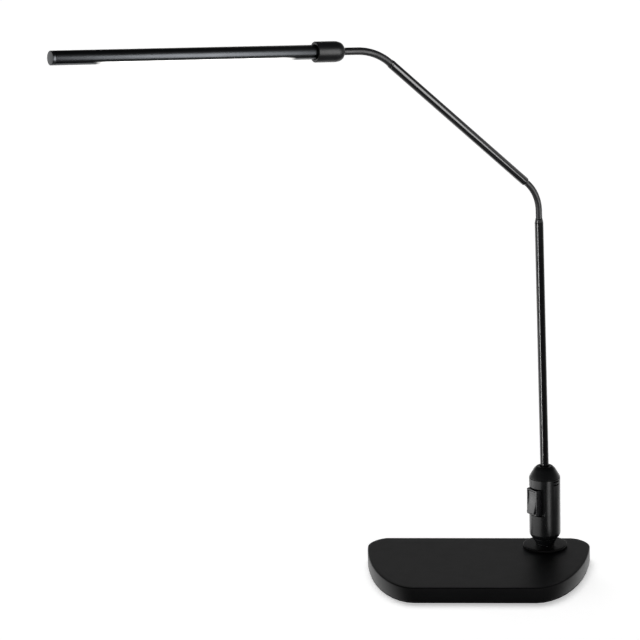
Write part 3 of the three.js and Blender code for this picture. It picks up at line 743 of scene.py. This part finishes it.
def make_barrel():
    """The barrel, split into halves along the seam."""
    barrel = solid_barrel()
    halves = []
    for name, side in (("housing_left", -1), ("housing_right", 1)):
        half = barrel.copy()
        half.data = barrel.data.copy()
        half.name = name
        bpy.context.scene.collection.objects.link(half)
        near, far = sorted((side * GAP / 2, side * FAR))
        room = box("room", (-FAR, near, 0), (FAR, far, ABOVE_LAMP), radial(SEAM_ANGLE))
        boolean(half, room, "INTERSECT")
        halves.append(half)
    bpy.data.objects.remove(barrel)
    left, right = halves

    across, inset = SWITCH_BODY_HALF + GAP, SWITCH_BODY_INSET - GAP
    low, high = SWITCH_LOW + inset, SWITCH_HIGH - inset
    start, end = SWITCH_HOLE
    boolean(left, box("switch_hole", (start, -across, low), (end, across, high), radial(SWITCH_ANGLE)))
    for low in VENT_LEVELS:
        corners = (VENT_START, -VENT_HALF, low), (OUTSIDE, VENT_HALF, low + VENT_HEIGHT)
        boolean(right, box("vent", *corners, radial(VENT_ANGLE)))
    hole, start = INLET_RADIUS + GAP, INLET_HOLE_START
    boolean(right, radial_rod("inlet_hole", hole, INLET_ANGLE, start, OUTSIDE, INLET_HEIGHT, 48))
    for half in halves:
        soften(half, 0.3, 2)
    dress(left, "housing_plastic", "post", "housing_switch_half")
    dress(right, "housing_plastic", "post", "housing_plain_half")


def make_cap():
    """The domed cap, its spigot in the barrel and its collar round the post, and the grub screw."""
    bore = TUBE_RADIUS + 2 * GAP
    collar = bore + CAP_COLLAR_WALL
    top = HOUSING_TOP
    corners = [
        (bore, top - CAP_COLLAR_DEPTH, 0.3), (collar, top - CAP_COLLAR_DEPTH, 0.3),
        (collar, top - SPIGOT_DEPTH, 0), (SPIGOT_RADIUS, top - SPIGOT_DEPTH, 0),
        (SPIGOT_RADIUS, top + GAP, 0), (HOUSING_RADIUS, top + GAP, 0.3), *CAP_DOME,
    ]
    cap = turned("cap", corners + [(bore, CAP_TOP, 0.4)], sides=128, matrix=ARM)
    at_back = SEAM_ANGLE + 180
    boolean(cap, radial_rod("screw_hole", 1.8, at_back, 3, OUTSIDE, SET_SCREW_HEIGHT))
    tidy_normals(cap)
    dress(cap, "housing_plastic", "post", "housing_cap")

    start, end = bore + 0.1, SET_SCREW_END
    screw = radial_rod("set_screw", SET_SCREW_RADIUS, at_back, start, end, SET_SCREW_HEIGHT)
    start, end = HEX_KEY_REACH
    boolean(screw, radial_rod("hex_key", HEX_KEY, at_back, start, end, SET_SCREW_HEIGHT, 6))
    soften(screw, 0.12, 2)
    dress(screw, "steel", "post", "post_set_screw")


def make_switch_frame():
    turn = radial(SWITCH_ANGLE)
    half = SWITCH_WIDTH / 2
    front = SWITCH_FACE + SWITCH_RISE
    body = box("switch_body", (SWITCH_FACE, -half, SWITCH_LOW), (front, half, SWITCH_HIGH), turn)
    low, high = SWITCH_LOW + SWITCH_BODY_INSET, SWITCH_HIGH - SWITCH_BODY_INSET
    back, lap = SWITCH_FACE - SWITCH_BODY_DEPTH, SWITCH_FACE + 0.4
    rear = box("rear", (back, -SWITCH_BODY_HALF, low), (lap, SWITCH_BODY_HALF, high), turn)
    boolean(body, rear, "UNION")
    inner = half - SWITCH_RIM
    low, high = SWITCH_LOW + SWITCH_RIM, SWITCH_HIGH - SWITCH_RIM
    boolean(body, box("well", (SWITCH_FACE + SWITCH_WELL, -inner, low), (WIDE, inner, high), turn))
    soften(body, 0.55, 4)
    dress(body, "switch_plastic", "post", "switch_frame")


def rocker_outline(reach):
    """Side view of the rocker, (outwards, up): a shallow curved V with a rounded back."""
    dip, rise = 1.2, 1.2  # the face's height in the middle, and how much higher its ends are
    back, hub, foot = -1.4, 2, 0.4
    end = reach - 0.2
    steps = 16
    outline = []
    for i in range(steps + 1):
        up = -end + 2 * end * i / steps
        outline.append((dip + rise * abs(up / reach) ** 1.6, up))
    return outline + [(foot, reach), (back, hub), (back, -hub), (foot, -reach)]


def make_rocker():
    side_gap, end_gap = 0.4, 0.5
    reach = (SWITCH_HIGH - SWITCH_LOW) / 2 - SWITCH_RIM - end_gap
    half = SWITCH_WIDTH / 2 - SWITCH_RIM - side_gap
    pivot = SWITCH_FACE + SWITCH_RISE - ROCKER_PIVOT_DEPTH
    place = Matrix.Translation((pivot, 0, (SWITCH_LOW + SWITCH_HIGH) / 2))
    tilt = Matrix.Rotation(math.radians(-ROCKER_TILT), 4, "Y")
    stand_up = Matrix.Rotation(math.pi / 2, 4, "X")
    matrix = radial(SWITCH_ANGLE) @ place @ tilt @ stand_up
    rocker = extrude("rocker_key", rocker_outline(reach), -half, half, matrix)
    soften(rocker, 0.4, 3, 30)
    dress(rocker, "switch_plastic", "rocker", "rocker")


def make_inlet():
    end = HOUSING_RADIUS - 0.2
    socket = radial_rod("inlet", INLET_RADIUS, INLET_ANGLE, INLET_START, end, INLET_HEIGHT, 64)
    boolean(socket, radial_rod("bore", INLET_BORE, INLET_ANGLE, INLET_FLOOR, OUTSIDE, INLET_HEIGHT, 48))
    soften(socket, 0.3, 3)
    dress(socket, "housing_plastic", "post", "power_inlet")
    start, end = INLET_FLOOR + 0.35, HOUSING_RADIUS - 1.6
    pin = radial_rod("centre_pin", INLET_PIN, INLET_ANGLE, start, end, INLET_HEIGHT, 24)
    soften(pin, 0.3, 3)
    dress(pin, "steel", "post", "inlet_pin")


# ---------------------------------------- arm


def tube(name, start, end, line):
    profile = [(TUBE_BORE, start), (TUBE_RADIUS, start), (TUBE_RADIUS, end), (TUBE_BORE, end)]
    return lathe(name, fillet(profile, 0.25, 3, closed=True), 64, line, closed=True)


def ferrule(name, end, length, facing, line, sleeve):
    """A tapered plug in a tube's end. facing is 1 at the tube's far end and -1 at its near end."""
    plug, tip = TUBE_BORE - GAP, sleeve[0] + FERRULE_STEP
    corners = [
        (FERRULE_BORE, -FERRULE_DEPTH, 0.1), (plug, -FERRULE_DEPTH, 0.2), (plug, GAP, 0),
        (TUBE_RADIUS, GAP, 0.3), (tip, length, 0.25), (FERRULE_BORE, length, 0.1),
    ]
    points = [corner[:2] for corner in corners]
    roundings = [corner[2] for corner in corners]
    rounded = fillet(points, roundings, 4, closed=True)
    placed = [(radius, end + facing * height) for radius, height in rounded]
    return lathe(name, placed, 64, line, closed=True)


def bend_path(corner, angle_in, angle_out, before, tangent, after, steps):
    """Points and headings along straight, round, straight, in the arm plane."""
    turn = math.radians(angle_in - angle_out)
    radius = tangent / math.tan(turn / 2)
    start = along(corner, angle_in, -before)
    arc_start = along(corner, angle_in, -tangent)
    arc_end = along(corner, angle_out, tangent)
    centre = along(arc_start, angle_in - 90, radius)
    lengths = (before - tangent, radius * turn, after - tangent)
    path = []
    for i in range(steps + 1):
        distance = sum(lengths) * i / steps
        if distance < lengths[0]:
            path.append((along(start, angle_in, distance), angle_in))
        elif distance < lengths[0] + lengths[1]:
            turned = math.degrees((distance - lengths[0]) / radius)
            path.append((along(centre, angle_in + 90 - turned, radius), angle_in - turned))
        else:
            path.append((along(arc_end, angle_out, distance - lengths[0] - lengths[1]), angle_out))
    return path


def swept_ring(name, path, outer, inner, sides, swell=None):
    """A tube along a path in the arm plane. swell(share) gives a factor on the outer radius."""
    rows = []
    last = len(path) - 1
    for i, (point, heading) in enumerate(path):
        rows.append((point, heading, outer * (swell(i / last) if swell else 1)))
    rows += [(point, heading, inner) for point, heading in reversed(path)]
    vertices, faces = [], []
    for point, heading, radius in rows:
        across = direction(heading + 90)
        for i in range(sides):
            angle = 2 * math.pi * i / sides
            in_plane = across * (radius * math.cos(angle))
            vertices.append((point.x + in_plane.x, radius * math.sin(angle), point.y + in_plane.y))
    for row in range(len(rows)):
        for i in range(sides):
            j = (i + 1) % sides
            a, b = row * sides, (row + 1) % len(rows) * sides
            faces.append((a + i, a + j, b + j, b + i))
    return new_object(name, vertices, faces, ARM, BLUNT)


def core_ripple(share):
    """The spiral core's radius swells and shrinks along it."""
    return 1 + CORE_RIPPLE * math.cos(share * CORE_TURNS)


def make_gooseneck(prefix, path, size):
    """A rubber sleeve over a spiral metal core, both bending between two bodies."""
    sleeve = swept_ring(prefix + "_sleeve", path, *size, 40)
    core = swept_ring(prefix + "_core", path, CORE_RADIUS, CORE_BORE, 24, core_ripple)
    pieces = ((sleeve, "gooseneck_sleeve", "_gooseneck_sleeve"), (core, "steel", "_gooseneck_core"))
    for piece, slot, node in pieces:
        piece.data.materials.append(LOOKS[slot])
        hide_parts(prefix + node)
        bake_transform(piece)


def make_post():
    end = (POST_TOP - CAP_TOP) / math.cos(math.radians(POST_LEAN))
    post = tube("post", POST_LOW - CAP_TOP, end, POST_LINE)
    dress(post, "arm_tube", "post", "post_tube", look="post")
    plug = ferrule("post_plug", end, POST_FERRULE, 1, POST_LINE, LOWER_SLEEVE)
    dress(plug, "arm_tube", "post", "post_ferrule", look="post")


def make_middle():
    middle = tube("middle", MIDDLE_START, MIDDLE_END, MIDDLE_LINE)
    dress(middle, "arm_tube", "middle_arm", "middle_tube", look="middle")
    low = ferrule("middle_low_plug", MIDDLE_START, MIDDLE_FERRULE, -1, MIDDLE_LINE, LOWER_SLEEVE)
    dress(low, "arm_tube", "middle_arm", "middle_lower_ferrule", look="middle")
    high = ferrule("middle_high_plug", MIDDLE_END, MIDDLE_FERRULE, 1, MIDDLE_LINE, UPPER_SLEEVE)
    dress(high, "arm_tube", "middle_arm", "middle_upper_ferrule", look="middle")


def make_goosenecks():
    before = ELBOW.y - POST_TOP - POST_FERRULE - BUTT_GAP
    after = MIDDLE_START - MIDDLE_FERRULE - BUTT_GAP
    lower = bend_path(ELBOW, POST_ANGLE, MIDDLE_ANGLE, before, ELBOW_TANGENT, after, 60)
    make_gooseneck("lower", lower, LOWER_SLEEVE)
    before = SHOULDER - MIDDLE_END - MIDDLE_FERRULE - BUTT_GAP
    after = COLLAR_START + SLEEVE_IN_COLLAR
    upper = bend_path(SHOULDER_POINT, MIDDLE_ANGLE, BAR_ANGLE, before, SHOULDER_TANGENT, after, 72)
    make_gooseneck("upper", upper, UPPER_SLEEVE)


# ---------------------------------------- collar and bar


def make_collar():
    corners = [
        (COLLAR_MOUTH, 0, 0.4), *COLLAR_DOME, (COLLAR_RADIUS, COLLAR_LENGTH, 0.9),
        (COLLAR_BORE, COLLAR_LENGTH, 0.3), (COLLAR_BORE, COLLAR_WALL, 0),
        (COLLAR_MOUTH, COLLAR_WALL, 0.2),
    ]
    collar = turned("collar_shell", corners, steps=6, sides=128, matrix=BAR_LINE)
    sideways = Matrix.Translation((0, 0, STOP_SCREW_AT)) @ Matrix.Rotation(math.pi / 2, 4, "X")
    place = BAR_LINE @ sideways
    boolean(collar, cylinder("stop_hole", STOP_SCREW_HOLE, *STOP_HOLE_REACH, 32, place))
    tidy_normals(collar)
    dress(collar, "collar_plastic", "collar", "head_collar")

    end = STOP_SCREW_END
    screw = cylinder("stop_screw", STOP_SCREW_RADIUS, STOP_SCREW_START, end, 32, place)
    boolean(screw, box("slot", *STOP_SCREW_SLOT, place))
    soften(screw, 0.1, 2)
    dress(screw, "steel", "collar", "roll_stop_screw")


def arc(radius, start, end, steps):
    """Points of an arc of the bar's section, with up along local -X."""
    points = []
    for i in range(steps + 1):
        angle = start + (end - start) * i / steps
        points.append((-radius * math.sin(angle), radius * math.cos(angle)))
    return points


def make_bar_shell():
    """The extrusion: a round wall over the top, with a thinner lip on each side for the strip."""
    outer = math.asin(BAR_STEP / BAR_RADIUS)
    inner = math.asin(BAR_SPLIT / BAR_INNER)
    lip_high, lip_low = math.asin(BAR_STEP / BAR_LIP), math.asin(BAR_SPLIT / BAR_LIP)
    outline = arc(BAR_RADIUS, outer, math.pi - outer, 72)
    outline += arc(BAR_LIP, math.pi - lip_high, math.pi - lip_low, 6)
    outline += arc(BAR_INNER, math.pi - inner, inner, 72)
    outline += arc(BAR_LIP, lip_low, lip_high, 6)
    shell = extrude("bar_extrusion", outline, BAR_START, BAR_END, BAR_LINE)
    soften(shell, 0.15, 2, BLUNT)
    dress(shell, "bar_aluminium", "light_bar", "bar_shell")


def make_diffuser():
    level = BAR_SPLIT - GAP
    outer, inner = math.asin(level / BAR_RADIUS), math.asin(level / BAR_INNER)
    outline = arc(BAR_RADIUS, outer, -math.pi - outer, 64)
    outline += arc(BAR_INNER, -math.pi - inner, inner, 64)
    strip = extrude("opal_diffuser", outline, BAR_START + DIFFUSER_SETBACK, BAR_END, BAR_LINE)
    soften(strip, 0.2, 2, BLUNT)
    dress(strip, "diffuser", "light_bar", "diffuser")


def make_end_cap():
    plug = BAR_INNER - GAP
    start, face = BAR_END + GAP, BAR_END + GAP + END_CAP
    corners = [
        (0, BAR_END - END_CAP_PLUG, 0), (plug, BAR_END - END_CAP_PLUG, 0.3), (plug, start, 0),
        (BAR_RADIUS, start, 0.15), (BAR_RADIUS, face, 0.6), (0, face, 0),
    ]
    cap = turned("end_cap", corners, matrix=BAR_LINE, closed=False)
    dress(cap, "bar_aluminium", "light_bar", "bar_end_cap")


# ---------------------------------------- camera, floor and light

IMAGE_WIDTH = 640
CAMERA_AZIMUTH = 3.44
CAMERA_ELEVATION = 18.1
CAMERA_ROLL = 1.1
CAMERA_DISTANCE = 6000
PIXELS_PER_MM = 1.075
VIEW_OFFSET = (144.3, -219.2)  # base's back centre, to the camera's right and up from its aim
FLOOR_ALBEDO = 0.9
FLOOR_GLOW = 0.48
SUN_IRRADIANCE = 1.95
LAMP_MIDDLE = 0.3  # height, in metres, that the upright lights are aimed from
# steps of the studio's brightness; above the horizon they go by the sine of the elevation
UPPER_STUDIO = [(0.09, 0.97), (0.2, 0.6), (0.31, 0.17), (0.5, 0.08), (0.8, 0.03)]
LOWER_STUDIO = [(0.1, 0.03), (0.2, 0.08), (0.4, 0.15), (0.55, 0.5), (0.7, 1.0)]
LOWER_PEAK = 1.5
PALE_SIDE = (-0.35, 0.94, 0)
HORIZON_BLEND = 0.12
LIT_PIECES = {  # how the names of the pieces start that single lights light
    "arm_pieces": ("post", "middle", "lower_", "upper_"),
    "housing_pieces": ("housing", "cap", "inlet", "neck", "switch", "rocker"),
    "reach_pieces": ("middle", "lower_", "upper_", "bar", "opal", "end_cap"),
}
BASE_PIECES = ("base", "socket")


def make_camera():
    data = bpy.data.cameras.new("camera")
    camera = bpy.data.objects.new("camera", data)
    bpy.context.scene.collection.objects.link(camera)
    bpy.context.scene.camera = camera
    azimuth, elevation = math.radians(CAMERA_AZIMUTH), math.radians(CAMERA_ELEVATION)
    roll = math.radians(CAMERA_ROLL)
    right = Vector((math.cos(azimuth), math.sin(azimuth), 0))
    back = Vector((
        math.sin(azimuth) * math.cos(elevation),
        -math.cos(azimuth) * math.cos(elevation),
        math.sin(elevation),
    ))
    up = back.cross(right)
    anchor = Vector((AXIS_TO_RIGHT - BASE_WIDTH / 2, AXIS_TO_BACK, 0))
    target = anchor - right * VIEW_OFFSET[0] - up * VIEW_OFFSET[1]
    turned_right = right * math.cos(roll) - up * math.sin(roll)
    turned_up = up * math.cos(roll) + right * math.sin(roll)
    matrix = Matrix((turned_right, turned_up, back)).transposed().to_4x4()
    matrix.translation = (target + back * CAMERA_DISTANCE) * MM
    camera.matrix_world = matrix
    data.sensor_width = 36
    data.lens = PIXELS_PER_MM * CAMERA_DISTANCE * data.sensor_width / IMAGE_WIDTH
    data.clip_end = 100


def make_floor():
    """A pale floor that glows a little, so its shadows stay faint. Reflections don't see it."""
    size = 30000
    corners = [(-size, -size, 0), (size, -size, 0), (size, size, 0), (-size, size, 0)]
    floor = new_object("floor", corners, [(0, 1, 2, 3)])
    material = bpy.data.materials.new("pale_floor")
    material.use_nodes = True
    shader = material.node_tree.nodes["Principled BSDF"]
    shader.inputs["Base Color"].default_value = (FLOOR_ALBEDO, FLOOR_ALBEDO, FLOOR_ALBEDO, 1)
    shader.inputs["Roughness"].default_value = 0.9
    shader.inputs["Specular IOR Level"].default_value = 0.0
    shader.inputs["Emission Color"].default_value = (1, 1, 1, 1)
    shader.inputs["Emission Strength"].default_value = FLOOR_GLOW
    floor.data.materials.append(material)
    floor.visible_glossy = False


def standing_light(name, azimuth, half_width, elevations, distance, radiance, lit, blockers):
    """An upright soft light, sized by the directions it is seen in, that lights some pieces."""
    low, high = (LAMP_MIDDLE + distance * math.tan(math.radians(e)) for e in elevations)
    width, tall = 2 * distance * math.tan(math.radians(half_width)), high - low
    data = bpy.data.lights.new(name, "AREA")
    data.shape = "RECTANGLE"
    data.size, data.size_y = width, tall
    data.energy = radiance * math.pi * width * tall
    light = bpy.data.objects.new(name, data)
    bpy.context.scene.collection.objects.link(light)
    angle = math.radians(azimuth)
    light.location = (distance * math.cos(angle), distance * math.sin(angle), (low + high) / 2)
    light.rotation_euler = (math.pi / 2, 0, angle + math.pi / 2)
    light.visible_camera = False
    light.light_linking.receiver_collection = lit
    light.light_linking.blocker_collection = blockers


def sun_light(name, azimuth, elevation, spread, irradiance):
    data = bpy.data.lights.new(name, "SUN")
    data.energy = irradiance
    data.angle = math.radians(spread)
    light = bpy.data.objects.new(name, data)
    light.visible_glossy = False
    bpy.context.scene.collection.objects.link(light)
    light.rotation_euler = (math.radians(90 - elevation), 0, math.radians(azimuth + 90))


def make_ramp(tree, value, stops):
    ramp = tree.nodes.new("ShaderNodeValToRGB")
    tree.links.new(value, ramp.inputs["Fac"])
    while len(ramp.color_ramp.elements) < len(stops):
        ramp.color_ramp.elements.new(0.5)
    for element, (position, level) in zip(ramp.color_ramp.elements, stops):
        element.position = position
        element.color = (level, level, level, 1)
    return ramp.outputs["Color"]


def make_world():
    """A studio that is pale at the horizon and dark overhead.

    Reflections pass through the floor, so what is below the horizon is the studio as glossy
    surfaces see it: dark at the front, pale at the back and on the left.
    """
    world = bpy.data.worlds.new("studio")
    world.use_nodes = True
    bpy.context.scene.world = world
    tree = world.node_tree
    coordinates = tree.nodes.new("ShaderNodeTexCoord")
    split = tree.nodes.new("ShaderNodeSeparateXYZ")
    tree.links.new(coordinates.outputs["Generated"], split.inputs["Vector"])
    upper = make_ramp(tree, split.outputs["Z"], UPPER_STUDIO)

    across = tree.nodes.new("ShaderNodeVectorMath")
    across.operation = "DOT_PRODUCT"
    tree.links.new(coordinates.outputs["Generated"], across.inputs[0])
    across.inputs[1].default_value = PALE_SIDE
    share = tree.nodes.new("ShaderNodeMapRange")
    tree.links.new(across.outputs["Value"], share.inputs["Value"])
    share.inputs["From Min"].default_value = -1
    lower = tree.nodes.new("ShaderNodeVectorMath")
    lower.operation = "SCALE"
    tree.links.new(make_ramp(tree, share.outputs["Result"], LOWER_STUDIO), lower.inputs[0])
    lower.inputs["Scale"].default_value = LOWER_PEAK

    above = tree.nodes.new("ShaderNodeMapRange")
    tree.links.new(split.outputs["Z"], above.inputs["Value"])
    above.inputs["From Min"].default_value = -HORIZON_BLEND
    above.inputs["From Max"].default_value = 0
    both = tree.nodes.new("ShaderNodeMix")
    both.data_type = "RGBA"
    tree.links.new(above.outputs["Result"], both.inputs[MIX_FACTOR])
    tree.links.new(lower.outputs["Vector"], both.inputs[MIX_FIRST])
    tree.links.new(upper, both.inputs[MIX_SECOND])
    tree.links.new(both.outputs[MIX_RESULT], tree.nodes["Background"].inputs["Color"])


def group_pieces(name, pieces):
    group = bpy.data.collections.new(name)
    bpy.context.scene.collection.children.link(group)
    for piece in pieces:
        group.objects.link(piece)
    return group


def make_lights():
    """Upright lights for single groups of pieces, and a broad light from behind for them all."""
    pieces = [obj for obj in bpy.data.objects if obj.type == "MESH" and obj.name != "floor"]
    above_base = [obj for obj in pieces if not obj.name.startswith(BASE_PIECES)]
    everything = group_pieces("lamp_pieces", pieces)
    above_base_group = group_pieces("above_base", above_base)
    lit = {}
    for name, starts in LIT_PIECES.items():
        lit[name] = group_pieces(name, [obj for obj in pieces if obj.name.startswith(starts)])
    named = sum(LIT_PIECES.values(), ())
    others = group_pieces("other_pieces", [obj for obj in above_base if not obj.name.startswith(named)])

    arm, housing, reach = lit["arm_pieces"], lit["housing_pieces"], lit["reach_pieces"]
    # azimuth, half width, elevations, distance in metres, radiance
    standing_light("left_strip", 231, 2.5, (-32, 8), 3, 38, arm, everything)
    standing_light("left_panel", 203, 40, (-30, 10), 3, 2.4, housing, above_base_group)
    standing_light("right_strip", 303, 9, (-32, -6), 3, 5, housing, everything)
    standing_light("reach_panel", 325, 16, (-26, 27), 6, 9, reach, everything)
    standing_light("right_panel", 328, 13, (-15, 32), 6, 9, others, everything)
    sun_light("back_sun", 102, 55, 40, SUN_IRRADIANCE)


make_camera()
dress_cad_nodes()
make_base_shell()
make_base_socket()
make_neck()
make_barrel()
make_cap()
make_switch_frame()
make_rocker()
make_inlet()
make_post()
make_middle()
make_goosenecks()
make_collar()
make_bar_shell()
make_diffuser()
make_end_cap()
make_floor()
make_world()
make_lights()

bpy.context.scene.view_settings.view_transform = "Standard"
